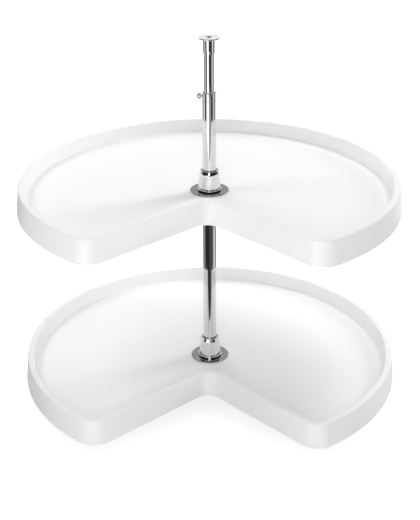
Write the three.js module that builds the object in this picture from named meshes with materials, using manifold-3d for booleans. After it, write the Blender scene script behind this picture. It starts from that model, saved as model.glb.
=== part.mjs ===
// Kidney carousel for a corner cabinet: two moulded shelves that turn on a telescoping chrome post.
// Millimetres, +Z up. The post stands on the Z axis, the cabinet floor is at z = 0, and the notch of
// both shelves faces -Y.

import * as THREE from 'three';
import * as BufferGeometryUtils from 'three/addons/utils/BufferGeometryUtils.js';
import Module from 'manifold-3d';

const wasm = await Module();
wasm.setup();

// ---------------------------------------------------------------- driving dimensions

// Fits
const seatGap = 0.3;             // between faces that rest on, or screw into, each other
const runningGap = 0.06;         // on the radius, between parts that turn or slide on each other
const holeGap = 0.5;             // on the radius, round a sleeve in a moulded hole

// Shelf outline, seen from above
const shelfRadius = 355.6;       // a 28 inch shelf
const notchReach = 77;           // post axis to each straight wall of the notch
const notchAngle = 90;           // degrees between those walls
const notchFillet = 23.5;        // concave rounding at the inner end of the notch
const cornerFillet = 35;         // rounding of the two front corners

// Shelf section. Widths are measured from the skirt's bottom edge.
const shelfHeight = 46;
const skirtWall = 3;             // wall of the moulding
const skirtDraft = 4;            // how far the skirt leans in on its way up
const rimFillet = 3;             // outer top edge of the rim
const rimWidth = 16.5;           // to the top of the inner wall
const rimInnerFillet = 2.5;      // inner top edge of the rim
const innerWallLean = 4;         // how far the inner wall leans in on its way down
const floorDepth = 26.5;         // rim top to shelf floor
const floorThickness = 3;
const coveRadius = 4;            // inner wall to floor

// Ribs and boss under the shelf
const ribThickness = 2.5;
const ribDepth = 10;
const radialRibs = 10;
const ringRibRadius = 205;
const bossRadius = 37;
const bossDepth = 6;

// Hub that carries a shelf
const hubFlangeRadius = 36;
const hubFlangeThickness = 2;
const sleeveRadius = 22;         // threaded sleeve through the shelf
const neckWall = 2.3;
const neckHeight = 33;           // above the hub flange
const bushWall = 2.3;
const bushLipRadius = 20;
const bushLipThickness = 2;
const nutRadius = 31;
const nutHeight = 8;
const nutNotches = 6;
const nutNotchWidth = 7;
const nutNotchDepth = 4;

// Chrome cap over the hub's neck
const capHeight = 39.4;
const capBaseRadius = 23;
const capBaseHeight = 3.4;
const capGrooveDepth = 1.6;
const capGrooveHeight = 1.8;
const capFootRadius = 20.6;
const capShoulderRadius = 18.6;
const capShoulderHeight = 7;
const capTopRadius = 16.4;
const capTopEdge = 1;

// Collar that holds a shelf's height, and the washer it runs on
const collarRadius = 20;
const collarHeight = 14;
const setScrewRadius = 3.9;
const setScrewSocket = 2.2;      // across corners, on the radius
const washerRadius = 20;
const washerThickness = 2;

// Post
const postRadius = 12.7;         // 1 inch tube
const postWall = 1.5;
const postLength = 574;
const shelfSpacing = 346;

// Telescoping top of the post
const innerTubeRadius = 9.5;     // 3/4 inch tube
const innerTubeWall = 1.5;
const innerTubeShown = 72;       // ferrule to top socket
const innerTubeHidden = 150;     // below the ferrule's top
const bandHeight = 15.4;         // ferrule's visible band
const ferruleDepth = 20;         // ferrule inside the main tube
const ferruleEdge = 0.8;
const endBushHeight = 20;
const endBushFloor = 2;

// Thumb screw that locks the inner tube
const thumbStemRadius = 2.5;
const thumbStemGap = 0.1;
const thumbKnobRadius = 6;
const thumbKnobLength = 8.4;
const thumbKnobDome = 3.6;       // height of its rounded face
const thumbKnobClear = 1.8;      // ferrule to knob
const thumbFlutes = 10;
const thumbFluteDepth = 0.5;
const thumbDirection = 180;      // degrees from +X

// Top fitting
const socketRadius = 11;
const socketStraight = 21.5;
const socketTaper = 5;
const socketLipWall = 0.7;
const socketShoulder = 3;        // inward shoulder over the tube's end
const topFlangeRadius = 19;
const topFlangeThickness = 3;
const topSpigotLength = 14;

// Foot
const footRadius = 45;
const footThickness = 4;
const footSocketWall = 5.5;
const footSocketHeight = 17;
const footFillet = 3;
const footScrews = 4;
const footScrewCircle = 34;      // radius of the circle that the holes lie on
const woodScrewRadius = 2.5;
const countersinkRadius = 4.8;
const edgeChamfer = 0.8;

// Smoothness
const turnSteps = 30;            // round parts that show, and the tubes
const hiddenSteps = 24;          // round parts under a shelf
const smallSteps = 12;           // screws
const rimSteps = 32;             // outer arc of a shelf
const cornerSteps = 4;
const filletSteps = 3;

// ---------------------------------------------------------------- derived sizes

const floorLevel = shelfHeight - floorDepth;
const bossBottom = floorLevel - floorThickness - bossDepth;
const nutTop = bossBottom - seatGap;
const sleeveBottom = nutTop - nutHeight;
const lipBottom = sleeveBottom - seatGap - bushLipThickness;
const washerTop = lipBottom - seatGap;
const collarTop = washerTop - washerThickness - seatGap;
const collarBottom = collarTop - collarHeight;
const hubFlangeTop = floorLevel + seatGap + hubFlangeThickness;
const bushRadius = postRadius + runningGap + bushWall;
const hubBore = bushRadius + seatGap;
const neckRadius = hubBore + neckWall;
const neckTop = hubFlangeTop + neckHeight;
const collarBore = postRadius + seatGap;

const lowerShelfLevel = footThickness + footSocketHeight + seatGap - collarBottom;
const upperShelfLevel = lowerShelfLevel + shelfSpacing;
const postBottom = footThickness + seatGap;
const bandBottom = postBottom + postLength + seatGap;
const bandTop = bandBottom + bandHeight;
const socketBottom = bandTop + innerTubeShown;
const socketTop = socketBottom + socketTaper + socketStraight;
const innerTubeTop = socketTop - socketShoulder - seatGap;
const topSpigotRadius = innerTubeRadius - innerTubeWall - seatGap;

// ---------------------------------------------------------------- materials

function finish(color, roughness, metalness) {
  return new THREE.MeshStandardMaterial({ color, roughness, metalness });
}
const whitePlastic = finish(0xf4f4f2, 0.4, 0);
const chrome = finish(0xd8dadc, 0.08, 1);
const nylon = finish(0xe6e2d6, 0.5, 0);
const zincPlate = finish(0xb4b7ba, 0.35, 1);

// ---------------------------------------------------------------- building blocks

// A closed mesh as a solid that can be cut and joined.
function solid(geometry) {
  geometry.deleteAttribute('normal');
  geometry.deleteAttribute('uv');
  const merged = BufferGeometryUtils.mergeVertices(geometry, 1e-4);
  const corners = merged.index.array;
  const triangles = [];
  for (let i = 0; i < corners.length; i += 3) {
    const [a, b, c] = corners.slice(i, i + 3);
    if (a !== b && b !== c && c !== a) triangles.push(a, b, c);
  }
  return new wasm.Manifold(new wasm.Mesh({
    numProp: 3,
    vertProperties: new Float32Array(merged.attributes.position.array),
    triVerts: new Uint32Array(triangles),
  }));
}

// A solid as a named mesh with a material of its own.
function piece(name, body, material) {
  const { vertProperties, triVerts } = body.getMesh();
  const geometry = new THREE.BufferGeometry();
  geometry.setAttribute('position', new THREE.BufferAttribute(vertProperties, 3));
  geometry.setIndex(new THREE.BufferAttribute(triVerts, 1));
  geometry.computeVertexNormals();
  const mesh = new THREE.Mesh(geometry, material.clone());
  mesh.name = name;
  return mesh;
}

// Radius, height pairs turned about Z, listed up the outside. A ring's list closes on itself.
function turned(profile, steps = turnSteps) {
  const points = profile.map(([r, z]) => new THREE.Vector2(r, z));
  return new THREE.LatheGeometry(points, steps).rotateX(Math.PI / 2);
}

function ring(profile, steps = turnSteps) {
  return turned([...profile, profile[0]], steps);
}

// Vertex radius of a faceted bore whose flats lie at the given radius.
function bore(radius, steps) {
  return radius / Math.cos(Math.PI / steps);
}

// A round bar along X, from one x to another.
function crossBar(radius, from, to) {
  return new THREE.CylinderGeometry(radius, radius, to - from, smallSteps)
    .rotateZ(Math.PI / 2)
    .translate((from + to) / 2, 0, 0);
}

// Points along an arc, angles in radians.
function arc(x, y, radius, from, to, steps) {
  return Array.from({ length: steps + 1 }, (_, i) => {
    const angle = from + (to - from) * i / steps;
    return [x + radius * Math.cos(angle), y + radius * Math.sin(angle)];
  });
}

// A polyline whose inner corners are rounded. Each corner is [x, y, radius].
function roundedPath(corners, steps) {
  const path = [corners[0].slice(0, 2)];
  for (let i = 1; i < corners.length - 1; i++) {
    const [before, corner, after] = [i - 1, i, i + 1].map((k) => new THREE.Vector2(...corners[k]));
    const back = before.sub(corner).normalize();
    const ahead = after.sub(corner).normalize();
    const half = Math.acos(back.dot(ahead)) / 2;
    const radius = corners[i][2];
    const centre = back.clone().add(ahead).normalize().multiplyScalar(radius / Math.sin(half)).add(corner);
    const start = back.multiplyScalar(radius / Math.tan(half)).add(corner).sub(centre);
    const end = ahead.multiplyScalar(radius / Math.tan(half)).add(corner).sub(centre);
    const sweep = Math.atan2(start.cross(end), start.dot(end));
    path.push(...arc(centre.x, centre.y, radius, start.angle(), start.angle() + sweep, steps));
  }
  return path;
}

// ---------------------------------------------------------------- shelf

// The kidney outline, moved inwards by inset, anticlockwise from the inner end of the notch.
function outline(inset) {
  const half = THREE.MathUtils.degToRad(notchAngle / 2);
  const radius = shelfRadius - inset;
  const reach = notchReach - inset;
  const corner = cornerFillet - inset;
  const inner = notchFillet + inset;
  const along = Math.sqrt((radius - corner) ** 2 - (corner - reach) ** 2);
  const cornerX = (corner - reach) * Math.cos(half) + along * Math.sin(half);
  const cornerY = (corner - reach) * Math.sin(half) - along * Math.cos(half);
  const cornerAngle = Math.atan2(cornerY, cornerX);
  const innerY = -(inner + reach) / Math.sin(half);
  const right = [
    ...arc(0, innerY, inner, Math.PI / 2, half, cornerSteps),
    ...arc(cornerX, cornerY, corner, half - Math.PI, cornerAngle, cornerSteps),
    ...arc(0, 0, radius, cornerAngle, Math.PI / 2, rimSteps / 2).slice(1),
  ];
  const left = right.slice(1, -1).reverse().map(([x, y]) => [-x, y]);
  return [...right, ...left];
}

// A closed body through outlines that follow a section of [inset, height] points, capped at both ends.
function outlineLoft(section) {
  const loops = section.map(([inset, z]) => outline(inset).map(([x, y]) => [x, y, z]));
  const count = loops[0].length;
  const index = [];
  for (let ring = 0; ring < loops.length - 1; ring++) {
    for (let i = 0; i < count; i++) {
      const a = ring * count + i;
      const b = ring * count + (i + 1) % count;
      index.push(a, b, b + count, a, b + count, a + count);
    }
  }
  const last = (loops.length - 1) * count;
  const flat = (loop) => loop.map(([x, y]) => new THREE.Vector2(x, y));
  for (const [a, b, c] of THREE.ShapeUtils.triangulateShape(flat(loops[0]), [])) index.push(c, b, a);
  for (const [a, b, c] of THREE.ShapeUtils.triangulateShape(flat(loops.at(-1)), [])) {
    index.push(last + a, last + b, last + c);
  }
  const geometry = new THREE.BufferGeometry();
  geometry.setAttribute('position', new THREE.Float32BufferAttribute(loops.flat(2), 3));
  geometry.setIndex(index);
  return solid(geometry);
}

// How far the drafted skirt has leaned in at a height.
function skirtInset(height) {
  return skirtDraft * height / shelfHeight;
}

// The moulding's skin: an open skirt, a hollow rim and a floor, all of an even wall.
function trayShell() {
  const foot = rimWidth + innerWallLean;
  const past = foot + coveRadius + skirtWall;
  const under = roundedPath([
    [past, floorLevel - floorThickness],
    [foot - skirtWall, floorLevel - floorThickness, coveRadius],
    [rimWidth - skirtWall, shelfHeight - skirtWall, 1],
    [skirtWall + skirtInset(shelfHeight - skirtWall), shelfHeight - skirtWall, 2],
    [skirtWall, 0],
  ], 1);
  const over = roundedPath([
    [0, 0],
    [skirtDraft, shelfHeight, rimFillet],
    [rimWidth, shelfHeight, rimInnerFillet],
    [foot, floorLevel, coveRadius],
    [past, floorLevel],
  ], filletSteps);
  return outlineLoft([...under.slice(1), [skirtWall, 0], ...over]);
}

// Radial ribs, a ring rib and the hub's boss, all within the skirt.
function underRibs() {
  const top = floorLevel - floorThickness / 2;
  const bottom = floorLevel - floorThickness - ribDepth;
  const height = top - bottom;
  const within = outlineLoft([bottom, top].map((z) => [skirtWall / 2 + skirtInset(z), z]));
  const half = ribThickness / 2;
  let ribs = solid(ring([
    [ringRibRadius - half, bottom], [ringRibRadius + half, bottom],
    [ringRibRadius + half, top], [ringRibRadius - half, top],
  ]));
  const firstAngle = notchAngle / 2 - 90;
  const sweep = 360 - notchAngle;
  for (let i = 0; i < radialRibs; i++) {
    const angle = THREE.MathUtils.degToRad(firstAngle + sweep * i / (radialRibs - 1));
    const rib = new THREE.BoxGeometry(shelfRadius, ribThickness, height)
      .translate(shelfRadius / 2, 0, (top + bottom) / 2)
      .rotateZ(angle);
    ribs = ribs.add(solid(rib));
  }
  const boss = solid(turned([[0, bossBottom], [bossRadius, bossBottom], [bossRadius, top], [0, top]]));
  const clearBelowBoss = solid(turned([
    [0, bottom - 1], [bossRadius, bottom - 1], [bossRadius, bossBottom], [0, bossBottom],
  ]));
  return ribs.intersect(within).subtract(clearBelowBoss).add(boss);
}

function tray() {
  const hole = sleeveRadius + holeGap;
  const hubHole = solid(turned([[0, -1], [hole, -1], [hole, shelfHeight], [0, shelfHeight]]));
  return trayShell().add(underRibs()).subtract(hubHole);
}

// ---------------------------------------------------------------- hub

// Plate on the shelf floor, threaded sleeve below it and plain neck above it, in one casting.
function hubFlange() {
  const plateBottom = floorLevel + seatGap;
  return solid(ring([
    [hubBore, sleeveBottom],
    [sleeveRadius - edgeChamfer, sleeveBottom],
    [sleeveRadius, sleeveBottom + edgeChamfer],
    [sleeveRadius, plateBottom],
    [hubFlangeRadius - edgeChamfer / 2, plateBottom],
    [hubFlangeRadius, plateBottom + edgeChamfer / 2],
    [hubFlangeRadius - edgeChamfer, hubFlangeTop],
    [neckRadius, hubFlangeTop],
    [neckRadius, neckTop],
    [hubBore, neckTop],
  ], hiddenSteps));
}

// Hollow polished cap: foot ring, groove, tapered body, sloped shoulder and a lip round the post.
function hubCap() {
  const bottom = hubFlangeTop + seatGap;
  const top = hubFlangeTop + capHeight;
  const grooveTop = bottom + capBaseHeight + capGrooveHeight;
  const inside = neckRadius + seatGap;
  const lipUnder = neckTop + seatGap;
  return solid(ring([
    [inside, bottom],
    [capBaseRadius, bottom],
    [capBaseRadius, bottom + capBaseHeight - edgeChamfer],
    [capBaseRadius - edgeChamfer, bottom + capBaseHeight],
    [capFootRadius - capGrooveDepth, bottom + capBaseHeight],
    [capFootRadius - capGrooveDepth, grooveTop],
    [capFootRadius, grooveTop + edgeChamfer],
    [capShoulderRadius, top - capShoulderHeight],
    [capTopRadius, top - capTopEdge],
    [capTopRadius - capTopEdge, top],
    [collarBore + holeGap, top],
    [collarBore, top - capTopEdge],
    [collarBore, lipUnder],
    [inside, lipUnder],
  ]));
}

// Nylon sleeve that turns on the post, with the lip that carries the hub.
function bearingBush() {
  const inside = bore(postRadius + runningGap, hiddenSteps);
  return solid(ring([
    [inside, lipBottom],
    [bushLipRadius, lipBottom],
    [bushLipRadius, sleeveBottom - seatGap],
    [bushRadius, sleeveBottom - seatGap],
    [bushRadius, neckTop],
    [inside, neckTop],
  ], hiddenSteps));
}

// Ring nut with spanner notches.
function hubNut() {
  const inside = sleeveRadius + seatGap;
  let nut = solid(ring([
    [inside, sleeveBottom],
    [nutRadius - edgeChamfer, sleeveBottom],
    [nutRadius, sleeveBottom + edgeChamfer],
    [nutRadius, nutTop],
    [inside, nutTop],
  ], hiddenSteps));
  for (let i = 0; i < nutNotches; i++) {
    const notch = new THREE.BoxGeometry(nutNotchDepth * 2, nutNotchWidth, nutHeight * 2)
      .translate(nutRadius, 0, sleeveBottom)
      .rotateZ((i + 0.5) / nutNotches * 2 * Math.PI);
    nut = nut.subtract(solid(notch));
  }
  return nut;
}

function thrustWasher() {
  return solid(ring([
    [collarBore, collarTop + seatGap],
    [washerRadius, collarTop + seatGap],
    [washerRadius, washerTop],
    [collarBore, washerTop],
  ], hiddenSteps));
}

// Collar with a cross hole for its set screw, which faces the notch.
function supportCollar() {
  const body = solid(ring([
    [collarBore, collarBottom],
    [collarRadius - edgeChamfer, collarBottom],
    [collarRadius, collarBottom + edgeChamfer],
    [collarRadius, collarTop - edgeChamfer],
    [collarRadius - edgeChamfer, collarTop],
    [collarBore, collarTop],
  ], hiddenSteps));
  const hole = crossBar(setScrewRadius + runningGap, 0, collarRadius + 1)
    .rotateZ(-Math.PI / 2)
    .translate(0, 0, (collarTop + collarBottom) / 2);
  return body.subtract(solid(hole));
}

// Socket set screw along X, tip on the post, hexagon socket outwards.
function setScrew(outerRadius) {
  const tip = collarBore;
  const socket = new THREE.CylinderGeometry(setScrewSocket, setScrewSocket, outerRadius - tip, 6)
    .rotateZ(Math.PI / 2)
    .translate(outerRadius, 0, 0);
  return solid(crossBar(setScrewRadius, tip, outerRadius - seatGap)).subtract(solid(socket));
}

function shelfUnit(side, level) {
  const screw = piece(`${side}_collar_screw`, setScrew(collarRadius), zincPlate);
  screw.rotation.z = -Math.PI / 2;
  screw.position.z = (collarTop + collarBottom) / 2;
  const unit = new THREE.Group();
  unit.add(
    piece(`${side}_tray`, tray(), whitePlastic),
    piece(`${side}_hub_flange`, hubFlange(), chrome),
    piece(`${side}_hub_cap`, hubCap(), chrome),
    piece(`${side}_bearing_bush`, bearingBush(), nylon),
    piece(`${side}_hub_nut`, hubNut(), zincPlate),
    piece(`${side}_thrust_washer`, thrustWasher(), nylon),
    piece(`${side}_support_collar`, supportCollar(), zincPlate),
    screw,
  );
  unit.position.z = level;
  return unit;
}

// ---------------------------------------------------------------- post

// Foot plate with countersunk screw holes and a blind socket that the post stands in.
function floorFlange() {
  const socket = collarBore + footSocketWall;
  const top = footThickness + footSocketHeight;
  let foot = solid(turned([
    [0, 0],
    [footRadius, 0],
    [footRadius, footThickness - edgeChamfer],
    [footRadius - edgeChamfer, footThickness],
    [socket + footFillet, footThickness],
    [socket, footThickness + footFillet],
    [socket, top - edgeChamfer],
    [socket - edgeChamfer, top],
    [collarBore, top],
    [collarBore, footThickness],
    [0, footThickness],
  ], hiddenSteps));
  for (let i = 0; i < footScrews; i++) {
    const angle = (i + 0.5) / footScrews * 2 * Math.PI;
    const hole = countersunkHole(footThickness)
      .translate(footScrewCircle, 0, 0)
      .rotateZ(angle);
    foot = foot.subtract(solid(hole));
  }
  const cross = crossBar(setScrewRadius + runningGap, 0, socket + 1)
    .rotateZ(-Math.PI / 2)
    .translate(0, 0, footThickness + footSocketHeight / 2);
  return foot.subtract(solid(cross));
}

// Cutter for a wood screw's hole through a plate from z = 0 to its thickness, sunk from above.
function countersunkHole(thickness) {
  const sink = countersinkRadius - woodScrewRadius;
  return turned([
    [0, -1],
    [woodScrewRadius, -1],
    [woodScrewRadius, thickness - sink],
    [countersinkRadius, thickness],
    [countersinkRadius, thickness + 1],
    [0, thickness + 1],
  ], smallSteps);
}

function tube(radius, wall, bottom, top) {
  return solid(ring([[radius - wall, bottom], [radius, bottom], [radius, top], [radius - wall, top]]));
}

// Band flush with the main tube, on a spigot inside it, bored for the inner tube and the thumb screw.
function lockFerrule() {
  const inside = innerTubeRadius + runningGap;
  const spigot = postRadius - postWall - seatGap;
  const body = solid(ring([
    [inside, bandBottom - ferruleDepth],
    [spigot, bandBottom - ferruleDepth],
    [spigot, bandBottom],
    [postRadius, bandBottom],
    [postRadius, bandTop - ferruleEdge],
    [postRadius - ferruleEdge, bandTop],
    [inside, bandTop],
  ]));
  const hole = crossBar(thumbStemRadius + thumbStemGap, 0, postRadius + 1)
    .rotateZ(THREE.MathUtils.degToRad(thumbDirection))
    .translate(0, 0, (bandTop + bandBottom) / 2);
  return body.subtract(solid(hole));
}

// Fluted knob with a domed face on a plain stem, along Z from the stem's tip.
function thumbScrew() {
  const tip = innerTubeRadius + seatGap;
  const knobStart = postRadius + thumbKnobClear;
  const knobEnd = knobStart + thumbKnobLength;
  const dome = [0, 30, 60, 90].map((degrees) => {
    const angle = THREE.MathUtils.degToRad(degrees);
    return [thumbKnobRadius * Math.cos(angle), knobEnd - thumbKnobDome * (1 - Math.sin(angle))];
  });
  let screw = solid(turned([
    [0, tip],
    [thumbStemRadius, tip],
    [thumbStemRadius, knobStart],
    [thumbKnobRadius - edgeChamfer, knobStart],
    [thumbKnobRadius, knobStart + edgeChamfer],
    ...dome,
  ], thumbFlutes * 2));
  const middle = (knobStart + knobEnd) / 2;
  for (let i = 0; i < thumbFlutes; i++) {
    const flute = new THREE.CylinderGeometry(thumbFluteDepth, thumbFluteDepth, thumbKnobLength * 2, 6)
      .rotateX(Math.PI / 2)
      .translate(thumbKnobRadius, 0, middle)
      .rotateZ((i + 0.5) / thumbFlutes * 2 * Math.PI);
    screw = screw.subtract(solid(flute));
  }
  return screw;
}

// Nylon guide that the inner tube stands in, sliding in the main tube.
function tubeEndBush(tubeBottom) {
  const outside = postRadius - postWall - runningGap;
  const seat = innerTubeRadius + seatGap;
  const floor = tubeBottom - seatGap;
  return solid(ring([
    [innerTubeRadius - innerTubeWall, floor - endBushFloor],
    [outside, floor - endBushFloor],
    [outside, floor - endBushFloor + endBushHeight],
    [seat, floor - endBushFloor + endBushHeight],
    [seat, floor],
    [innerTubeRadius - innerTubeWall, floor],
  ]));
}

// Wide end of the inner tube: tapered below, with a shoulder over the tube's end.
function topSocket() {
  const inside = innerTubeRadius + seatGap;
  return solid(ring([
    [inside, socketBottom],
    [inside + socketLipWall, socketBottom],
    [socketRadius, socketBottom + socketTaper],
    [socketRadius, socketTop - edgeChamfer],
    [socketRadius - edgeChamfer, socketTop],
    [topSpigotRadius + seatGap, socketTop],
    [topSpigotRadius + seatGap, innerTubeTop + seatGap],
    [inside, innerTubeTop + seatGap],
  ]));
}

// Top plate with a countersunk hole down its middle and a spigot inside the inner tube, from z = 0.
function topFlange() {
  const sink = countersinkRadius - woodScrewRadius;
  return solid(ring([
    [woodScrewRadius, -topSpigotLength],
    [topSpigotRadius, -topSpigotLength],
    [topSpigotRadius, 0],
    [topFlangeRadius - edgeChamfer, 0],
    [topFlangeRadius, edgeChamfer],
    [topFlangeRadius, topFlangeThickness - edgeChamfer],
    [topFlangeRadius - edgeChamfer, topFlangeThickness],
    [countersinkRadius, topFlangeThickness],
    [woodScrewRadius, topFlangeThickness - sink],
  ]));
}

function post() {
  const footScrew = piece('foot_set_screw', setScrew(collarBore + footSocketWall), zincPlate);
  footScrew.rotation.z = -Math.PI / 2;
  footScrew.position.z = footThickness + footSocketHeight / 2;
  const lock = piece('thumb_screw', thumbScrew(), chrome);
  lock.rotation.set(0, Math.PI / 2, THREE.MathUtils.degToRad(thumbDirection), 'ZYX');
  lock.position.z = (bandTop + bandBottom) / 2;
  const flange = piece('top_flange', topFlange(), chrome);
  flange.position.z = socketTop + seatGap;
  const innerBottom = bandTop - innerTubeHidden;
  const assembly = new THREE.Group();
  assembly.add(
    piece('floor_flange', floorFlange(), zincPlate),
    footScrew,
    piece('main_tube', tube(postRadius, postWall, postBottom, postBottom + postLength), chrome),
    piece('lock_ferrule', lockFerrule(), chrome),
    lock,
    piece('inner_tube', tube(innerTubeRadius, innerTubeWall, innerBottom, innerTubeTop), chrome),
    piece('tube_end_bush', tubeEndBush(innerBottom), nylon),
    piece('top_socket', topSocket(), chrome),
    flange,
  );
  return assembly;
}

// ---------------------------------------------------------------- assembly

const carousel = new THREE.Group();
carousel.add(post(), shelfUnit('lower', lowerShelfLevel), shelfUnit('upper', upperShelfLevel));

export default carousel;
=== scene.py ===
"""Kidney carousel for a corner cabinet: two moulded trays turn on a telescoping chrome post."""

from math import atan2, cos, degrees, pi, radians, sin, sqrt

import bmesh
import bpy
from mathutils import Matrix, Vector


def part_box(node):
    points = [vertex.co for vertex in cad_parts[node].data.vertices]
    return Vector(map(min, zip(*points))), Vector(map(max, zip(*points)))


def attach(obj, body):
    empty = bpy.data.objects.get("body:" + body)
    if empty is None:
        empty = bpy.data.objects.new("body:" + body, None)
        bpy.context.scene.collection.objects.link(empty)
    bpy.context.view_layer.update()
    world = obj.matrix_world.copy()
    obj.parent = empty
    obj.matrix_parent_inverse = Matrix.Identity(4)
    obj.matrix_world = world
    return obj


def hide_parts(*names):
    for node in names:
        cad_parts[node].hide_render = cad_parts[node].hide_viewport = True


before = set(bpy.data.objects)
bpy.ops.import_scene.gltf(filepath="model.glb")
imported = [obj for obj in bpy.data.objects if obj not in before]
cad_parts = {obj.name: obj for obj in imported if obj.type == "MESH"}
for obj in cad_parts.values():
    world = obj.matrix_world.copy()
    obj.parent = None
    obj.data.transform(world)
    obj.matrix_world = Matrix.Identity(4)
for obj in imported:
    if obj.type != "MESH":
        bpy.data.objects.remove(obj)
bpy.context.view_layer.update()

# ------------------------------------------------------------------------------------------------
# Foot: a turned steel flange with a socket for the post, zinc plated. Four countersunk wood screws
# hold it to the cabinet floor, under the lower tray, and a set screw at the front grips the post.
# Sizes are millimetres here and below, until finish_piece makes them metres.

MM = 0.001
TOUCH = 1e-3                    # points closer than this are one point
CUT_PAST = 1                    # how far a cutter runs past the surface that it cuts


def heights(node):
    """Lowest and highest level of a CAD piece, in millimetres."""
    low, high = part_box(node)
    return low.z / MM, high.z / MM


def radius_of(node):
    """Radius of a round CAD piece on the post's axis, in millimetres."""
    low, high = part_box(node)
    return (high.x - low.x) / 2 / MM


def turned(profile, steps=96):
    """Turns a chain of (radius, height) points round the post's axis. A ring's chain is closed."""
    bm = bmesh.new()
    chain = [bm.verts.new((radius, 0, height)) for radius, height in profile]
    for start, end in zip(chain, chain[1:]):
        bm.edges.new((start, end))
    if profile[0][0] > 0:
        bm.edges.new((chain[-1], chain[0]))
    bmesh.ops.spin(bm, geom=bm.verts[:] + bm.edges[:], cent=(0, 0, 0), axis=(0, 0, 1),
                   angle=2 * pi, steps=steps, use_merge=True)
    bmesh.ops.remove_doubles(bm, verts=bm.verts, dist=TOUCH)
    bmesh.ops.recalc_face_normals(bm, faces=bm.faces)
    return bm


def ease(bm, edges, rounding, segments):
    """Rounds edges over."""
    bmesh.ops.bevel(bm, geom=edges, offset=rounding, segments=segments, profile=0.5,
                    affect="EDGES", material=-1)


def ease_rings(bm, rings, segments=4):
    """Rounds ring-shaped edges of a turned piece, each given by (radius, height, rounding)."""
    for radius, height, rounding in rings:
        on_ring = {vert for vert in bm.verts if abs(vert.co.z - height) < TOUCH
                   and abs(vert.co.xy.length - radius) < TOUCH}
        ring = [edge for edge in bm.edges if on_ring.issuperset(edge.verts)]
        ease(bm, ring, rounding, segments)


def set_out(bm, distance, turn):
    """Moves a shape out from the axis and turns it round the axis."""
    place = Matrix.Rotation(turn, 4, "Z") @ Matrix.Translation((distance, 0, 0))
    bmesh.ops.transform(bm, verts=bm.verts, matrix=place)
    return bm


def as_object(name, bm):
    """A mesh object from a finished or half-finished shape."""
    mesh = bpy.data.meshes.new(name)
    bm.to_mesh(mesh)
    bm.free()
    made = bpy.data.objects.new(name, mesh)
    bpy.context.scene.collection.objects.link(made)
    return made


def combined(bm, tools, operation):
    """Cuts other shapes out of a shape (DIFFERENCE), or joins them to it (UNION)."""
    body = as_object("blank", bm)
    shapes = [as_object("tool", tool) for tool in tools]
    for shape in shapes:
        step = body.modifiers.new("step", "BOOLEAN")
        step.object, step.operation, step.solver = shape, operation, "EXACT"
    result = bmesh.new()
    result.from_object(body, bpy.context.evaluated_depsgraph_get())
    for used in [body, *shapes]:
        bpy.data.objects.remove(used)
    return result


def finish_piece(bm, name, material, body, node, crease=35):
    """Turns a shape into the piece that stands for a CAD node, with its finish, on its body."""
    bmesh.ops.scale(bm, vec=(MM, MM, MM), verts=bm.verts)
    piece = as_object(name, bm)
    piece.data.materials.append(material)
    piece.data.shade_smooth()
    piece.data.set_sharp_from_angle(angle=radians(crease))
    flats = piece.modifiers.new("flats", "WEIGHTED_NORMAL")
    flats.keep_sharp = True
    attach(piece, body)
    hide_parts(node)


def linear(hex_colour):
    """An sRGB hex colour as the linear colour that Blender's sockets take."""
    channels = [int(hex_colour[i:i + 2], 16) / 255 for i in (0, 2, 4)]
    return [c / 12.92 if c <= 0.04045 else ((c + 0.055) / 1.055) ** 2.4 for c in channels] + [1]


def bare_nodes(owner):
    """Gives a material or world an empty set of shader nodes."""
    owner.use_nodes = True
    owner.node_tree.nodes.clear()
    return owner


def add_node(owner, kind, settings, inputs):
    """Adds a shader node to a material or world, sets it up, and fills or links its inputs.

    A colour Mix has its factor in input 0, its colours in 6 and 7, and its result in output 2.
    """
    node = owner.node_tree.nodes.new("ShaderNode" + kind)
    for name, value in settings.items():
        setattr(node, name, value)
    for name, value in inputs.items():
        if isinstance(value, bpy.types.NodeSocket):
            owner.node_tree.links.new(value, node.inputs[name])
        else:
            node.inputs[name].default_value = value
    return node


def plated_metal(name, shade, dark_shade, roughness, grain_mm, grain_strength):
    """A plated metal: patches of slightly uneven tone and gloss over a fine grain."""
    patch_mm, unevenness, grain_height = 25, 0.2, 0.1
    material = bare_nodes(bpy.data.materials.new(name))
    place = add_node(material, "TexCoord", {}, {}).outputs["Object"]
    patches = add_node(material, "TexNoise", {}, {
        "Vector": place, "Scale": 1 / (patch_mm * MM), "Detail": 4}).outputs["Fac"]
    tone = add_node(material, "Mix", {"data_type": "RGBA"}, {
        0: patches, 6: linear(dark_shade), 7: linear(shade)})
    gloss = add_node(material, "MapRange", {}, {
        "Value": patches, "To Min": roughness * (1 - unevenness),
        "To Max": roughness * (1 + unevenness)})
    grain = add_node(material, "TexNoise", {}, {"Vector": place, "Scale": 1 / (grain_mm * MM)})
    bump = add_node(material, "Bump", {}, {
        "Height": grain.outputs["Fac"], "Strength": grain_strength,
        "Distance": grain_height * MM})
    shader = add_node(material, "BsdfPrincipled", {}, {
        "Metallic": 1, "Base Color": tone.outputs[2], "Roughness": gloss.outputs["Result"],
        "Normal": bump.outputs["Normal"]})
    add_node(material, "OutputMaterial", {}, {"Surface": shader.outputs["BSDF"]})
    return material


# Zinc electroplate on steel: a soft grey shine with a cloudy, faintly frosted grain. The grain is
# drawn coarser than it is, here and on the other plated metals, so that it shows.
zinc_plate = plated_metal("zinc_electroplate", "c4c7ca", "adb1b6", roughness=0.36, grain_mm=0.6,
                          grain_strength=0.25)
# Black nickel on the small screws' steel: darker and a little smoother.
screw_steel = plated_metal("black_nickel_screw_steel", "8f9296", "787b80", roughness=0.3,
                           grain_mm=0.4, grain_strength=0.2)

slip = 0.3                      # clearance of pieces that only pass each other
close_fit = 0.06                # clearance of pieces that guide or grip each other
post_radius = radius_of("main_tube")
collar_bore = post_radius + slip

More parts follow.
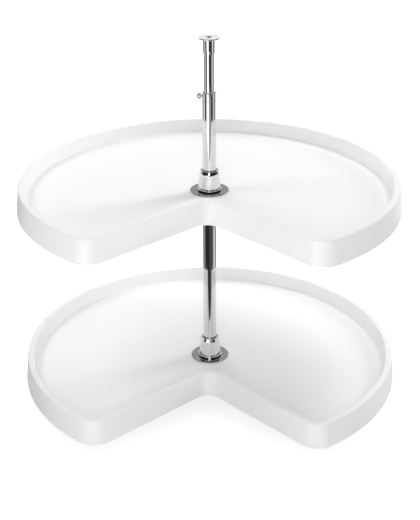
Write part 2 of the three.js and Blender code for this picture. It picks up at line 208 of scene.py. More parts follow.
foot_radius = 45
foot_plate = 4
foot_socket_wall = 5.5
foot_socket = collar_bore + foot_socket_wall
foot_bottom, foot_top = heights("floor_flange")
foot_middle = (foot_plate + foot_top) / 2
wood_screw_radius = 2.5
wood_screw_head = 4.8
wood_screws = 4
wood_screw_circle = 34
set_screw_radius = 3.9
set_screw_socket = 2.2


def countersink(radius, head, thickness):
    """Cutter for a wood screw's hole through a plate that starts at height zero."""
    return turned([(0, -CUT_PAST), (radius, -CUT_PAST), (radius, thickness - head + radius),
                   (head, thickness), (head, thickness + CUT_PAST), (0, thickness + CUT_PAST)], 48)


def front_bar(radius, start, end, height, sides=48):
    """A round or many-sided bar that points to the front, between two distances from the axis."""
    bar = bmesh.new()
    bmesh.ops.create_cone(bar, cap_ends=True, segments=sides, radius1=radius, radius2=radius,
                          depth=end - start)
    bmesh.ops.rotate(bar, verts=bar.verts, matrix=Matrix.Rotation(pi / 2, 3, "X"))
    bmesh.ops.translate(bar, verts=bar.verts, vec=(0, -(start + end) / 2, height))
    return bar


def set_screw_hole(outside, height):
    """Cutter for a set screw's cross hole in a ring on the post."""
    return front_bar(set_screw_radius + close_fit, 0, outside + CUT_PAST, height)


def set_screw(outside, height):
    """Headless screw with a hexagon socket, from the post to just inside its hole's outer end."""
    end = outside - slip
    screw = front_bar(set_screw_radius, collar_bore, end, height)
    tips = [edge for edge in screw.edges
            if abs(edge.verts[0].co.y - edge.verts[1].co.y) < TOUCH]
    ease(screw, tips, 0.4, 2)
    hexagon = front_bar(set_screw_socket, (collar_bore + end) / 2, end + CUT_PAST, height, sides=6)
    return combined(screw, [hexagon], "DIFFERENCE")


foot = turned([(0, foot_bottom), (foot_radius, foot_bottom), (foot_radius, foot_plate),
               (foot_socket, foot_plate), (foot_socket, foot_top), (collar_bore, foot_top),
               (collar_bore, foot_plate), (0, foot_plate)])
ease_rings(foot, [(foot_radius, foot_plate, 1.2), (foot_socket, foot_plate, 3),
                  (foot_socket, foot_top, 0.9), (collar_bore, foot_top, 0.4)])
foot_holes = [set_out(countersink(wood_screw_radius, wood_screw_head, foot_plate),
                      wood_screw_circle, (i + 0.5) * 2 * pi / wood_screws)
              for i in range(wood_screws)]
foot_holes.append(set_screw_hole(foot_socket, foot_middle))
finish_piece(combined(foot, foot_holes, "DIFFERENCE"), "foot_flange", zinc_plate, "base",
             "floor_flange")
finish_piece(set_screw(foot_socket, foot_middle), "foot_grub_screw", screw_steel, "base",
             "foot_set_screw")

# ------------------------------------------------------------------------------------------------
# Main tube: one inch of drawn steel tube, polished and chrome plated. It stands in the foot and
# runs through both hubs up to the lock ferrule.

BRIGHT_STEPS = 128              # mirror-bright pieces are turned finer than the others
tube_wall = 1.5


def chrome_plate(name, shade, dark_shade, roughness, wave_mm, wave_strength):
    """A polished and chromed metal: long shallow waves under patches of thin haze."""
    wave_height, wave_squeeze = 0.2, 0.12
    haze_mm, haze_roughening = 18.2, 2.2
    material = bare_nodes(bpy.data.materials.new(name))
    place = add_node(material, "TexCoord", {}, {}).outputs["Object"]
    lengthwise = add_node(material, "Mapping", {}, {
        "Vector": place, "Scale": (1, 1, wave_squeeze)})
    wave = add_node(material, "TexNoise", {}, {
        "Vector": lengthwise.outputs["Vector"], "Scale": 1 / (wave_mm * MM), "Detail": 1})
    bump = add_node(material, "Bump", {}, {
        "Height": wave.outputs["Fac"], "Strength": wave_strength, "Distance": wave_height * MM})
    haze = add_node(material, "TexNoise", {}, {
        "Vector": place, "Scale": 1 / (haze_mm * MM), "Detail": 5}).outputs["Fac"]
    gloss = add_node(material, "MapRange", {}, {
        "Value": haze, "From Min": 0.35, "From Max": 0.75, "To Min": roughness,
        "To Max": roughness * haze_roughening})
    tone = add_node(material, "Mix", {"data_type": "RGBA"}, {
        0: haze, 6: linear(shade), 7: linear(dark_shade)})
    shader = add_node(material, "BsdfPrincipled", {}, {
        "Metallic": 1, "Base Color": tone.outputs[2], "Roughness": gloss.outputs["Result"],
        "Normal": bump.outputs["Normal"]})
    add_node(material, "OutputMaterial", {}, {"Surface": shader.outputs["BSDF"]})
    return material


# Bright chrome on drawn tube: a near mirror that takes its tone from the room, with the faint
# lengthwise waviness of drawing and a trace of handling haze. The waves are drawn coarser than
# they are.
tube_chrome = chrome_plate("chrome_plated_drawn_tube", "e6e8ea", "dcdfe2", roughness=0.04,
                           wave_mm=18, wave_strength=0.02)


def tube(radius, bottom, top):
    """A length of tube with its outer ends eased."""
    ring = turned([(radius - tube_wall, bottom), (radius, bottom), (radius, top),
                   (radius - tube_wall, top)], BRIGHT_STEPS)
    ease_rings(ring, [(radius, bottom, 0.25), (radius, top, 0.25)], 3)
    return ring


finish_piece(tube(post_radius, *heights("main_tube")), "post_main_tube", tube_chrome, "base",
             "main_tube")

# ------------------------------------------------------------------------------------------------
# Support collars and thrust washers: a turned steel ring is locked on the post under each tray
# by a set screw, and the hub turns on the nylon washer that lies on it.

collar_radius = 20
washer_radius = 20


def moulded_plastic(name, shade, roughness, grain_mm, grain_strength):
    """An injection moulded plastic: even in tone, with the mould's grain."""
    patch_mm, unevenness, grain_height = 111, 0.15, 0.05
    material = bare_nodes(bpy.data.materials.new(name))
    place = add_node(material, "TexCoord", {}, {}).outputs["Object"]
    patches = add_node(material, "TexNoise", {}, {
        "Vector": place, "Scale": 1 / (patch_mm * MM), "Detail": 3}).outputs["Fac"]
    grain = add_node(material, "TexNoise", {}, {
        "Vector": place, "Scale": 1 / (grain_mm * MM), "Detail": 2})
    gloss = add_node(material, "MapRange", {}, {
        "Value": patches, "To Min": roughness * (1 - unevenness),
        "To Max": roughness * (1 + unevenness)})
    density = add_node(material, "MapRange", {}, {
        "Value": patches, "To Min": 0.985, "To Max": 1.01})
    tone = add_node(material, "HueSaturation", {}, {
        "Color": linear(shade), "Value": density.outputs["Result"]})
    bump = add_node(material, "Bump", {}, {
        "Height": grain.outputs["Fac"], "Strength": grain_strength,
        "Distance": grain_height * MM})
    shader = add_node(material, "BsdfPrincipled", {}, {
        "Base Color": tone.outputs["Color"], "Roughness": gloss.outputs["Result"],
        "Normal": bump.outputs["Normal"]})
    add_node(material, "OutputMaterial", {}, {"Surface": shader.outputs["BSDF"]})
    return material


# Natural nylon: an off-white plastic, faintly warm and waxy.
nylon = moulded_plastic("natural_nylon", "e6e2d6", roughness=0.42, grain_mm=0.5,
                        grain_strength=0.15)


def plain_ring(inside, outside, bottom, top, rounding):
    """A turned ring with its four edges eased."""
    ring = turned([(inside, bottom), (outside, bottom), (outside, top), (inside, top)])
    ease_rings(ring, [(radius, height, rounding) for radius in (inside, outside)
                      for height in (bottom, top)], 3)
    return ring


for side in ("lower", "upper"):
    carrier = side + "_carrier"
    bottom, top = heights(side + "_support_collar")
    middle = (bottom + top) / 2
    collar = plain_ring(collar_bore, collar_radius, bottom, top, 0.8)
    finish_piece(combined(collar, [set_screw_hole(collar_radius, middle)], "DIFFERENCE"),
                 side + "_height_collar", zinc_plate, carrier, side + "_support_collar")
    finish_piece(set_screw(collar_radius, middle), side + "_collar_grub_screw", screw_steel,
                 carrier, side + "_collar_screw")
    washer = plain_ring(collar_bore, washer_radius, *heights(side + "_thrust_washer"), 0.3)
    finish_piece(washer, side + "_nylon_washer", nylon, carrier, side + "_thrust_washer")

# ------------------------------------------------------------------------------------------------
# Trays: one injection moulding each, in white polypropylene. A skirt 46 mm high turns over into a
# hollow rim, an inner wall and a cove down to the floor, all of an even 3 mm wall. Ribs and a boss
# for the hub stiffen the floor from below.

# White polypropylene: satin, with the fine spark-eroded grain of the mould, drawn coarser than it
# is so that it shows.
white_polypropylene = moulded_plastic("white_polypropylene", "f4f4f3", roughness=0.38,
                                      grain_mm=0.9, grain_strength=0.12)

tray_radius = 355.6
notch_half_angle = radians(45)  # also the direction of each notch wall
notch_reach = 77                # from the post to each notch wall
notch_fillet = 23.5
corner_fillet = 35
tray_wall = 3
skirt_draft = 4                 # the skirt leans in on its way up
skirt_edge = 0.6
rim_width = 16.5
rim_outer_fillet = 3
rim_inner_fillet = 2.5
hollow_outer_fillet = 2         # of the rim's hollow, seen from below
hollow_inner_chamfer = 1
inner_wall_lean = 4
cove = 4
floor_margin = 4                # the floor's outermost strip, inside the cove
floor_depth = 26.5              # from the rim's top down to the floor
sleeve_radius = 22
hub_hole = sleeve_radius + 0.5
boss_radius = 37
boss_depth = 6
rib_depth = 10
rib_wall = 2.5
ring_rib_radius = 205
radial_ribs = 10
let_into_floor = 1              # how far ribs and boss run into the floor
let_into_boss = 2


def kidney_face():
    """One flat face with the tray's outline: half of it spun arc by arc, then mirrored."""
    along = sqrt((tray_radius - corner_fillet) ** 2 - (corner_fillet - notch_reach) ** 2)
    across = corner_fillet - notch_reach
    corner = Vector(((across + along) * cos(notch_half_angle),
                     (across - along) * sin(notch_half_angle), 0))
    corner_angle = atan2(corner.y, corner.x)
    apex = Vector((0, -(notch_fillet + notch_reach) / sin(notch_half_angle), 0))
    bm = bmesh.new()

    def sweep(centre, radius, start, end, steps):
        """Spins a point along an arc, and returns the arc's two ends."""
        first = bm.verts.new(centre + Vector((cos(start), sin(start), 0)) * radius)
        swept = bmesh.ops.spin(bm, geom=[first], cent=centre, axis=(0, 0, 1),
                               angle=end - start, steps=steps)
        return first, swept["geom_last"][0]

    # The steps keep each facet within 0.12 mm of its arc.
    wall_start = sweep(apex, notch_fillet, pi / 2, notch_half_angle, 8)[1]
    wall_end = sweep(corner, corner_fillet, notch_half_angle - pi, corner_angle, 12)[0]
    bm.edges.new((wall_start, wall_end))
    sweep(Vector(), tray_radius, corner_angle, pi / 2, 44)
    bmesh.ops.mirror(bm, geom=bm.verts[:] + bm.edges[:], axis="X", merge_dist=TOUCH)
    bmesh.ops.remove_doubles(bm, verts=bm.verts, dist=TOUCH)
    bmesh.ops.contextual_create(bm, geom=bm.edges)
    face = bm.faces[:][0]
    if face.normal.z < 0:
        face.normal_flip()
    return bm


def bend(inset, height, radius, start, end, steps=5):
    """(inset, height) points round a bend in the moulding's section, from angle to angle."""
    angles = [radians(start + (end - start) * i / steps) for i in range(steps + 1)]
    return [(inset + radius * cos(angle), height + radius * sin(angle)) for angle in angles]


def follow(bm, face, section):
    """Draws a face in through (inset, height) points of the section, leaving a wall behind it."""
    for (inset, height), (next_inset, next_height) in zip(section, section[1:]):
        face.normal_update()
        rise = (next_height - height) * (1 if face.normal.z > 0 else -1)
        bmesh.ops.inset_region(bm, faces=[face], thickness=next_inset - inset, depth=rise,
                               use_even_offset=True, use_boundary=True)


def tray_shape(height):
    """The moulding without its ribs: skirt, rim, inner wall and floor, hollow from below."""
    floor = height - floor_depth
    under_floor = floor - tray_wall
    under_rim = height - tray_wall
    wall_foot = rim_width + inner_wall_lean
    cove_end = wall_foot + cove
    draft = degrees(atan2(skirt_draft, height))
    lean = degrees(atan2(inner_wall_lean, floor_depth))

    first_step = 1
    bm = kidney_face()
    under_face = bm.faces[:][0]
    raised = bmesh.ops.extrude_face_region(bm, geom=[under_face])["geom"]
    bmesh.ops.translate(bm, vec=(0, 0, first_step),
                        verts=[part for part in raised if isinstance(part, bmesh.types.BMVert)])
    top_face = [part for part in raised if isinstance(part, bmesh.types.BMFace)][0]
    bmesh.ops.recalc_face_normals(bm, faces=bm.faces)

    follow(bm, top_face, [
        (0, first_step),
        *bend(skirt_draft + rim_outer_fillet, height - rim_outer_fillet, rim_outer_fillet,
              180 - draft, 90),
        *bend(rim_width - rim_inner_fillet, height - rim_inner_fillet, rim_inner_fillet, 90, lean),
        *bend(cove_end, floor + cove, cove, 180 + lean, 270),
        (cove_end + floor_margin, floor)])
    follow(bm, under_face, [
        (0, 0), (tray_wall - skirt_edge, 0), (tray_wall, skirt_edge),
        *bend(skirt_draft + tray_wall + hollow_outer_fillet, under_rim - hollow_outer_fillet,
              hollow_outer_fillet, 180 - draft, 90, 3),
        (rim_width - tray_wall - hollow_inner_chamfer, under_rim),
        (rim_width - tray_wall, under_rim - hollow_inner_chamfer),
        (wall_foot - tray_wall, floor + cove / 2),
        *bend(cove_end, floor + cove, cove + tray_wall, 215, 270, 3),
        (cove_end + floor_margin, under_floor)])

    hole_rims = []
    for face, level in ((top_face, floor), (under_face, under_floor)):
        floor_rim = face.edges[:]
        bmesh.ops.delete(bm, geom=[face], context="FACES_ONLY")
        circle = bmesh.ops.create_circle(bm, segments=72, radius=hub_hole,
                                         matrix=Matrix.Translation((0, 0, level)))["verts"]
        hole_rim = list({edge for vert in circle for edge in vert.link_edges})
        bmesh.ops.triangle_fill(bm, use_beauty=True, edges=floor_rim + hole_rim)
        hole_rims += hole_rim
    bmesh.ops.bridge_loops(bm, edges=hole_rims)
    bmesh.ops.recalc_face_normals(bm, faces=bm.faces)
    return bm


def square_bar(length, width, depth, distance, level, turn):
    """A bar that points away from the axis, with its middle at a distance and level, turned."""
    bar = bmesh.new()
    bmesh.ops.create_cube(bar, size=1)
    bmesh.ops.scale(bar, verts=bar.verts, vec=(length, width, depth))
    bmesh.ops.translate(bar, verts=bar.verts, vec=(distance, 0, level))
    bmesh.ops.rotate(bar, verts=bar.verts, matrix=Matrix.Rotation(turn, 3, "Z"))
    return bar


def rib_shapes(height):
    """The boss, the radial ribs, and a ring rib that stops at the notch, all let into the floor."""
    under_floor = height - floor_depth - tray_wall
    high = under_floor + let_into_floor
    low = under_floor - rib_depth
    boss_low = under_floor - boss_depth
    boss = turned([(hub_hole, boss_low), (boss_radius, boss_low), (boss_radius, high),
                   (hub_hole, high)])
    ease_rings(boss, [(boss_radius, boss_low, 1)])

    into_wall = skirt_draft * high / height + tray_wall / 2
    start = boss_radius - let_into_boss
    reach = tray_radius - into_wall - start
    whole_arc = 2 * pi - 2 * notch_half_angle
    ribs = [square_bar(reach, rib_wall, high - low, start + reach / 2, (high + low) / 2,
                       -notch_half_angle + whole_arc * i / (radial_ribs - 1))
            for i in range(radial_ribs)]

    wall = notch_reach - into_wall
    clear = notch_half_angle + atan2(wall, sqrt(ring_rib_radius ** 2 - wall ** 2))
    to_start = Matrix.Rotation(-clear, 4, "Z")
    inside, outside = ring_rib_radius - rib_wall / 2, ring_rib_radius + rib_wall / 2
    ring = bmesh.new()
    section = ring.faces.new([ring.verts.new(to_start @ Vector((radius, 0, level)))
                              for radius, level in ((inside, low), (outside, low),
                                                    (outside, high), (inside, high))])
    bmesh.ops.spin(ring, geom=[section], cent=(0, 0, 0), axis=(0, 0, 1), steps=120,
                   angle=pi + 2 * clear)
    bmesh.ops.recalc_face_normals(ring, faces=ring.faces)
    return [boss, *ribs, ring]


for side in ("lower", "upper"):
    bottom, top = heights(side + "_tray")
    tray = combined(tray_shape(top - bottom), rib_shapes(top - bottom), "UNION")
    bmesh.ops.translate(tray, verts=tray.verts, vec=(0, 0, bottom))
    finish_piece(tray, side + "_white_tray", white_polypropylene, side + "_shelf",
                 side + "_tray", crease=40)

# ------------------------------------------------------------------------------------------------
# Hubs: a die-cast flange lies on each tray's floor, its threaded sleeve goes down through the tray
# and a ring nut clamps it from below. A nylon bush in it turns on the post, and a polished cap
# hides its neck.

# Satin chrome on a zinc casting: the plate keeps the fine frosted grain of the casting.
cast_chrome = plated_metal("satin_chrome_casting", "c6c8ca", "b0b2b5", roughness=0.05,
                           grain_mm=0.5, grain_strength=0.08)
# Polished chrome on a zinc cap: the brightest finish, with hardly any waviness or haze.
cap_chrome = chrome_plate("polished_chrome_cap", "eeeff0", "e5e7e9", roughness=0.03, wave_mm=18,
                          wave_strength=0.015)

bush_wall = 2.3
bush_inside = post_radius + close_fit
bush_radius = bush_inside + bush_wall
bush_lip_radius = 20
neck_wall = 2.3
neck_height = 33
hub_bore = bush_radius + slip
neck_radius = hub_bore + neck_wall
plate_radius = 36
plate_thickness = 2
cap_inside = neck_radius + slip
cap_base_radius = 23
cap_base_height = 3.4
cap_groove_radius = 18.5
cap_groove_height = 1.8
cap_foot_radius = 20.6
cap_shoulder_radius = 18.6
cap_shoulder_height = 7
cap_top_radius = 16.4
nut_radius = 31
nut_notches = 6
nut_notch_length = 8            # half of it reaches past the nut
nut_notch_width = 7
nut_notch_depth = 16            # half of it reaches below the nut

for side in ("lower", "upper"):
    shelf = side + "_shelf"
    sleeve_bottom, neck_top = heights(side + "_hub_flange")
    plate_top = neck_top - neck_height
    plate_bottom = plate_top - plate_thickness
    flange = turned([(hub_bore, sleeve_bottom), (sleeve_radius, sleeve_bottom),
                     (sleeve_radius, plate_bottom), (plate_radius, plate_bottom),
                     (plate_radius, plate_top), (neck_radius, plate_top),
                     (neck_radius, neck_top), (hub_bore, neck_top)])
    ease_rings(flange, [(plate_radius, plate_top, 1.1), (plate_radius, plate_bottom, 0.4),
                        (sleeve_radius, sleeve_bottom, 0.8)])
    finish_piece(flange, side + "_cast_flange", cast_chrome, shelf, side + "_hub_flange")

    cap_bottom, cap_top = heights(side + "_hub_cap")
    groove_bottom = cap_bottom + cap_base_height
    groove_top = groove_bottom + cap_groove_height
    shoulder = cap_top - cap_shoulder_height
    lip_under = neck_top + slip
    cap = turned([(cap_inside, cap_bottom), (cap_base_radius, cap_bottom),
                  (cap_base_radius, groove_bottom), (cap_groove_radius, groove_bottom),
                  (cap_groove_radius, groove_top), (cap_foot_radius, groove_top),
                  (cap_shoulder_radius, shoulder), (cap_top_radius, cap_top),
                  (collar_bore, cap_top), (collar_bore, lip_under), (cap_inside, lip_under)],
                 BRIGHT_STEPS)
    ease_rings(cap, [(cap_base_radius, groove_bottom, 0.9), (cap_groove_radius, groove_bottom, 0.5),
                     (cap_groove_radius, groove_top, 0.4), (cap_foot_radius, groove_top, 0.8),
                     (cap_shoulder_radius, shoulder, 1.2), (cap_top_radius, cap_top, 0.9),
                     (collar_bore, cap_top, 0.6)])
    finish_piece(cap, side + "_polished_cap", cap_chrome, shelf, side + "_hub_cap",
                 crease=50)

    lip_bottom, bush_top = heights(side + "_bearing_bush")
    lip_top = sleeve_bottom - slip
    bush = turned([(bush_inside, lip_bottom), (bush_lip_radius, lip_bottom),
                   (bush_lip_radius, lip_top), (bush_radius, lip_top), (bush_radius, bush_top),
                   (bush_inside, bush_top)])
    ease_rings(bush, [(bush_lip_radius, lip_bottom, 0.4), (bush_lip_radius, lip_top, 0.4)], 3)
    finish_piece(bush, side + "_nylon_bush", nylon, shelf, side + "_bearing_bush")

    nut_bottom, nut_top = heights(side + "_hub_nut")
    nut = plain_ring(sleeve_radius + slip, nut_radius, nut_bottom, nut_top, 0.7)
    notches = [square_bar(nut_notch_length, nut_notch_width, nut_notch_depth, nut_radius,
                          nut_bottom, (i + 0.5) * 2 * pi / nut_notches)
               for i in range(nut_notches)]
    finish_piece(combined(nut, notches, "DIFFERENCE"), side + "_ring_nut", zinc_plate, shelf,
                 side + "_hub_nut")

# ------------------------------------------------------------------------------------------------
# Lock ferrule: a turned and chromed steel band pressed into the top of the main tube, flush with
# it. The inner tube slides in its bore.

inner_radius = radius_of("inner_tube")
ferrule_bore = inner_radius + close_fit
ferrule_depth = 20              # how far it reaches into the main tube
spigot_radius = post_radius - tube_wall - slip
thumb_turn = radians(180)       # the thumb screw points to the post's left
stem_radius = 2.5
stem_clearance = 0.1
stem_hole_end = 16

ferrule_bottom, ferrule_top = heights("lock_ferrule")
band_bottom = ferrule_bottom + ferrule_depth
band_middle = (band_bottom + ferrule_top) / 2
ferrule = turned([(ferrule_bore, ferrule_bottom), (spigot_radius, ferrule_bottom),
                  (spigot_radius, band_bottom), (post_radius, band_bottom),
                  (post_radius, ferrule_top), (ferrule_bore, ferrule_top)], BRIGHT_STEPS)
ease_rings(ferrule, [(post_radius, band_bottom, 0.25)], 3)
ease_rings(ferrule, [(post_radius, ferrule_top, 1.1), (ferrule_bore, ferrule_top, 1.2)])


def rod(radius, start, end, steps):
    """A plain round rod along the axis."""
    return turned([(0, start), (radius, start), (radius, end), (0, end)], steps)


def towards_thumb(bm):
    """Lays a shape that was turned about Z along the thumb screw's direction."""
    lay = (Matrix.Translation((0, 0, band_middle)) @ Matrix.Rotation(thumb_turn, 4, "Z")
           @ Matrix.Rotation(pi / 2, 4, "Y"))
    bmesh.ops.transform(bm, verts=bm.verts, matrix=lay)
    return bm


stem_hole = towards_thumb(rod(stem_radius + stem_clearance, 0, stem_hole_end, 48))
finish_piece(combined(ferrule, [stem_hole], "DIFFERENCE"), "post_lock_ferrule", tube_chrome,
             "base", "lock_ferrule")

# ------------------------------------------------------------------------------------------------
# Thumb screw: a turned brass knob on a steel stem, chromed all over, with fluted sides and a
# rounded face. Its tip locks the inner tube through the ferrule.

knob_radius = 6
knob_gap = 1.8                  # between the post and the knob
knob_length = 8.4
knob_dome = 3.6
dome_steps = 10
flutes = 20
flute_radius = 0.42
flute_offset = 0.1              # the flutes are centred just outside the knob

knob_start = post_radius + knob_gap
knob_end = knob_start + knob_length
stem_tip = inner_radius + slip
dome_angles = [radians(90 * step / dome_steps) for step in range(dome_steps)]
dome = [(knob_radius * cos(angle), knob_end - knob_dome * (1 - sin(angle)))
        for angle in dome_angles]
knob = turned([(0, stem_tip), (stem_radius, stem_tip), (stem_radius, knob_start),
               (knob_radius, knob_start), *dome, (0, knob_end)], 120)
ease_rings(knob, [(knob_radius, knob_start, 1.6)], 6)
flute_cuts = [set_out(rod(flute_radius, knob_start - CUT_PAST, knob_end + CUT_PAST, 12),
                      knob_radius + flute_offset, 2 * pi * i / flutes) for i in range(flutes)]
finish_piece(towards_thumb(combined(knob, flute_cuts, "DIFFERENCE")), "post_thumb_screw",
             cap_chrome, "thumb_screw", "thumb_screw")

# ------------------------------------------------------------------------------------------------
# Inner tube: three quarters of an inch of the same chromed tube. It slides in the main tube on a
# nylon bush at its lower end, and the ferrule's screw holds its height.

tube_bottom, tube_top = heights("inner_tube")
finish_piece(tube(inner_radius, tube_bottom, tube_top), "post_inner_tube", tube_chrome,
             "inner_post", "inner_tube")

cup_bottom, cup_top = heights("tube_end_bush")
cup_floor = tube_bottom - slip
cup_outside = post_radius - tube_wall - close_fit
cup = turned([(inner_radius - tube_wall, cup_bottom), (cup_outside, cup_bottom),
              (cup_outside, cup_top), (inner_radius + slip, cup_top),
              (inner_radius + slip, cup_floor), (inner_radius - tube_wall, cup_floor)])
ease_rings(cup, [(cup_outside, cup_bottom, 0.5), (cup_outside, cup_top, 0.3)], 3)
finish_piece(cup, "inner_tube_nylon_bush", nylon, "inner_post", "tube_end_bush")

# ------------------------------------------------------------------------------------------------
# Top fitting: a chromed steel socket, tapered below, is pressed over the end of the inner tube,
# and a round plate with a countersunk hole stands in it. A wood screw holds the plate to the
# underside of the cabinet top.

socket_radius = 11
socket_taper = 5
socket_lip = 0.7                # the socket's wall at its lower edge
flange_radius = 19
sink_radius = 6.2

socket_bottom, socket_top = heights("top_socket")
plate_low, plate_high = heights("top_flange")
plate_under = socket_top + slip
top_spigot = inner_radius - tube_wall - slip
sleeve_bore = inner_radius + slip
socket = turned([(sleeve_bore, socket_bottom), (sleeve_bore + socket_lip, socket_bottom),
                 (socket_radius, socket_bottom + socket_taper), (socket_radius, socket_top),
                 (top_spigot + slip, socket_top), (top_spigot + slip, tube_top + slip),
                 (sleeve_bore, tube_top + slip)], BRIGHT_STEPS)
ease_rings(socket, [(socket_radius, socket_bottom + socket_taper, 1.8)], 5)
ease_rings(socket, [(socket_radius, socket_top, 0.7)])
finish_piece(socket, "post_top_socket", tube_chrome, "inner_post", "top_socket")

top_plate = turned([(wood_screw_radius, plate_low), (top_spigot, plate_low),
                    (top_spigot, plate_under), (flange_radius, plate_under),
                    (flange_radius, plate_high), (sink_radius, plate_high),
                    (wood_screw_radius, plate_high - sink_radius + wood_screw_radius)],
                   BRIGHT_STEPS)
ease_rings(top_plate, [(flange_radius, plate_under, 1.2), (flange_radius, plate_high, 1.2)], 5)
ease_rings(top_plate, [(sink_radius, plate_high, 0.2)], 2)
finish_piece(top_plate, "post_top_plate", cap_chrome, "inner_post", "top_flange")

# ------------------------------------------------------------------------------------------------
# Studio: a sheet of white paper that keeps the carousel's shadow, under a white sky. Six soft
# lamps light the carousel, and only the low one at the front shows in its gloss. From here on
# sizes are metres.

scene = bpy.context.scene
scene.view_settings.view_transform = "Standard"


def seen(owner):
    """1 for what the camera sees, straight or in metal or glass, and 0 for light on the object."""
    path = add_node(owner, "LightPath", {}, {}).outputs
    mirrored = add_node(owner, "Math", {"operation": "MAXIMUM"}, {
        0: path["Is Glossy Ray"], 1: path["Is Transmission Ray"]})
    return add_node(owner, "Math", {"operation": "MAXIMUM"}, {
        0: path["Is Camera Ray"], 1: mirrored.outputs[0]}).outputs[0]


# Matt white paper: it bounces light like any pale floor, and shows white where no shadow falls.
# What it adds to look white grows outwards, where the lamps no longer reach it.
floor_paper = bare_nodes(bpy.data.materials.new("matt_white_paper"))
place = add_node(floor_paper, "TexCoord", {}, {}).outputs["Object"]
outwards = add_node(floor_paper, "VectorMath", {"operation": "LENGTH"}, {"Vector": place})
lift = add_node(floor_paper, "MapRange", {}, {
    "Value": outwards.outputs["Value"], "From Min": 0.6, "From Max": 3, "To Min": 0.6,
    "To Max": 0.86})
paper_glow = add_node(floor_paper, "Emission", {}, {
    "Color": linear("ffffff"), "Strength": lift.outputs["Result"]})
paper = add_node(floor_paper, "BsdfDiffuse", {}, {"Color": linear("f2f2f2")})
paper_shown = add_node(floor_paper, "AddShader", {}, {
    0: paper_glow.outputs[0], 1: paper.outputs[0]})
paper_mix = add_node(floor_paper, "MixShader", {}, {
    0: seen(floor_paper), 1: paper.outputs[0], 2: paper_shown.outputs[0]})
add_node(floor_paper, "OutputMaterial", {}, {"Surface": paper_mix.outputs[0]})

paper_sheet = bmesh.new()
bmesh.ops.create_grid(paper_sheet, x_segments=1, y_segments=1, size=20)
paper_sheet = as_object("studio_floor", paper_sheet)
paper_sheet.data.materials.append(floor_paper)

# White sky: full white behind the carousel and in its metal, and a weaker fill as light on it.
sky = bare_nodes(bpy.data.worlds.new("white_studio"))
scene.world = sky
soft_fill = add_node(sky, "Background", {}, {"Color": linear("ffffff"), "Strength": 0.32})
white_back = add_node(sky, "Background", {}, {"Color": linear("ffffff"), "Strength": 1.0})
sky_mix = add_node(sky, "MixShader", {}, {
    0: seen(sky), 1: soft_fill.outputs[0], 2: white_back.outputs[0]})
add_node(sky, "OutputWorld", {}, {"Surface": sky_mix.outputs[0]})


def compass(azimuth, elevation):
    """A direction from the carousel: azimuth 0 is the front, 90 its right, in degrees."""
    turn, rise = radians(azimuth), radians(elevation)
    return Vector((sin(turn) * cos(rise), -cos(turn) * cos(rise), sin(rise)))


lamp_distance = 2
middle_height = (heights("upper_tray")[1] + heights("lower_tray")[0]) / 2 * MM

# Name, azimuth, elevation, side, watts, and whether it shows in the gloss.
for name, azimuth, elevation, size, power, on_gloss in (
        ("front_softbox", 0, 20, 0.6, 10.7, False),
        ("low_front_softbox", -14, 6, 0.6, 5, True),
        ("left_softbox", -84, 50, 0.6, 6.4, False),
        ("right_softbox", 120, 20, 0.6, 13.9, False),
        ("back_right_softbox", 128, 54, 0.6, 12.4, False),
        ("back_left_softbox", -150, 35, 1.4, 15.1, False)):
    lamp = bpy.data.objects.new(name, bpy.data.lights.new(name, "AREA"))
    lamp.data.shape, lamp.data.size, lamp.data.energy = "SQUARE", size, power
    away = compass(azimuth, elevation)
    lamp.location = away * lamp_distance + Vector((0, 0, middle_height))
    lamp.rotation_euler = away.to_track_quat("Z", "Y").to_euler()
    lamp.visible_glossy = on_gloss
    scene.collection.objects.link(lamp)

# ------------------------------------------------------------------------------------------------
# Light tent: what the chrome mirrors. White cloth walls with black and grey strips between them
# give the tubes and caps their streaks. Only mirrored rays see it.

tent_light = 1.7                # the glow of the brightest strips
tent_radius = 1.05
tent_height = 2.4
ceiling_radius = tent_radius * 0.7
apron_hole = 0.13               # the foot's own surroundings stay paper
apron_lift = 0.001
band_blend = 0.02


def turn_of(azimuth):
    """Where an azimuth falls on the radial gradient."""
    return ((azimuth + 90) / 360) % 1


def tent_cloth(name, bands):
    """Tent cloth in bands, each from a height up, striped by (azimuth, glow) stops."""
    material = bare_nodes(bpy.data.materials.new(name))
    place = add_node(material, "TexCoord", {}, {}).outputs["Object"]
    round_turn = add_node(material, "TexGradient", {"gradient_type": "RADIAL"}, {"Vector": place})
    level = add_node(material, "SeparateXYZ", {}, {"Vector": place}).outputs["Z"]
    shade = None
    for start, strips in bands:
        ramp = add_node(material, "ValToRGB", {}, {"Fac": round_turn.outputs["Fac"]})
        stops = sorted((turn_of(azimuth), glow / tent_light) for azimuth, glow in strips)
        for stop, (position, grey) in zip(ramp.color_ramp.elements, (stops[0], stops[-1])):
            stop.position, stop.color = position, [grey] * 3 + [1]
        for position, grey in stops[1:-1]:
            ramp.color_ramp.elements.new(position).color = [grey] * 3 + [1]
        if shade is None:
            shade = ramp.outputs["Color"]
            continue
        above = add_node(material, "MapRange", {}, {
            "Value": level, "From Min": start - band_blend, "From Max": start + band_blend})
        shade = add_node(material, "Mix", {"data_type": "RGBA"}, {
            0: above.outputs["Result"], 6: shade, 7: ramp.outputs["Color"]}).outputs[2]
    glow = add_node(material, "Emission", {}, {"Color": shade, "Strength": tent_light})
    add_node(material, "OutputMaterial", {}, {"Surface": glow.outputs[0]})
    return material


def hang_cloth(name, bm, bands):
    """Hangs a piece of tent cloth that only mirrored rays see."""
    cloth = as_object(name, bm)
    cloth.data.materials.append(tent_cloth(name + "_cloth", bands))
    cloth.visible_camera = cloth.visible_diffuse = False
    cloth.visible_shadow = cloth.visible_transmission = False


def even(glow):
    """Strips of one glow all the way round."""
    return [(-180, glow), (179, glow)]


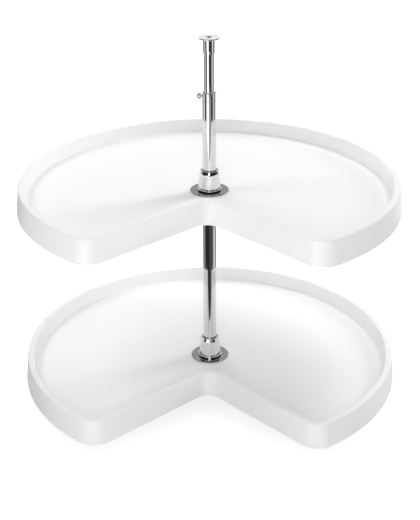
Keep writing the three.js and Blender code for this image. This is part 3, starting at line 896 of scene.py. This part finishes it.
# The lowest two bands streak the tubes, the third lights the caps' shoulders from the front, and
# the others darken or whiten the flanges, the knob and the top fitting.
low_wall = [(-180, 1.3), (-156, 1.3), (-148, .02), (-124, .02), (-112, .75), (-76, .7), (-68, .02),
            (-46, .02), (-38, 1.4), (-30, 1.7), (-8, 1.7), (-2, .42), (26, .36), (34, .05),
            (62, .05), (68, .7), (84, .6), (92, .3), (118, .3), (126, 1.3), (146, 1.3), (154, .05),
            (168, .05), (176, 1.3)]
middle_wall = [(-180, 1.3), (-158, 1.3), (-150, .05), (-128, .05), (-116, .5), (-74, .5), (-68, .1),
               (-48, .1), (-40, 1.3), (-32, 1.7), (-10, 1.7), (-5, .04), (36, .04), (54, .1),
               (64, .85), (84, .75), (92, .12), (118, .12), (126, 1.2), (144, 1.2), (152, .05),
               (168, .05), (176, 1.3)]
high_wall = [(-180, .5), (-130, .5), (-120, .02), (-14, .02), (-12, 1.7), (7, 1.7), (9, .02),
             (120, .02), (130, .5), (179, .5)]
hood_wall = [(-180, .5), (-130, .5), (-120, .02), (120, .02), (130, .5), (179, .5)]
floor_strips = [(-180, .9), (-162, .9), (-152, .1), (-134, .1), (-126, .45), (-116, .28),
                (-80, .3), (-74, .02), (-2, .03), (4, .08), (50, .08), (62, .2), (72, .65),
                (108, .75), (118, .15), (140, .15), (148, .9), (168, .9), (174, .5)]

wall = bmesh.new()
bmesh.ops.create_cone(wall, cap_ends=False, segments=64, radius1=tent_radius, radius2=tent_radius,
                      depth=tent_height, matrix=Matrix.Translation((0, 0, tent_height / 2)))
hang_cloth("tent_wall", wall, [
    (0, low_wall), (0.28, middle_wall), (0.52, high_wall), (0.76, hood_wall), (0.87, even(.04)),
    (0.94, even(1)), (1.4, even(.02))])

ceiling = bmesh.new()
bmesh.ops.create_circle(ceiling, cap_ends=True, segments=64, radius=ceiling_radius,
                        matrix=Matrix.Translation((0, 0, tent_height)))
hang_cloth("tent_ceiling", ceiling, [(0, even(.02))])

apron = bmesh.new()
bmesh.ops.create_circle(apron, segments=64, radius=apron_hole)
rim = bmesh.ops.extrude_edge_only(apron, edges=apron.edges)["geom"]
bmesh.ops.scale(apron, vec=(tent_radius / apron_hole, tent_radius / apron_hole, 1),
                verts=[part for part in rim if isinstance(part, bmesh.types.BMVert)])
bmesh.ops.translate(apron, vec=(0, 0, apron_lift), verts=apron.verts)
hang_cloth("tent_apron", apron, [(0, floor_strips)])

# ------------------------------------------------------------------------------------------------
# Camera: a long lens 2.2 m away, almost in front and 20 degrees above the trays. It aims at the
# post just above the upper tray, and its shift brings the whole carousel into the frame.

view_distance = 2.1918
aim = Vector((0, 0, 0.4623))
back = compass(1.79, 20.29)
roll = Matrix.Rotation(radians(-0.17), 3, "Z").to_quaternion()

camera = bpy.data.objects.new("camera", bpy.data.cameras.new("camera"))
scene.collection.objects.link(camera)
scene.camera = camera
camera.data.lens = 82.4
camera.data.shift_x = 0.0012
camera.data.shift_y = -0.1913
camera.location = aim + back * view_distance
camera.rotation_euler = (back.to_track_quat("Z", "Y") @ roll).to_euler()
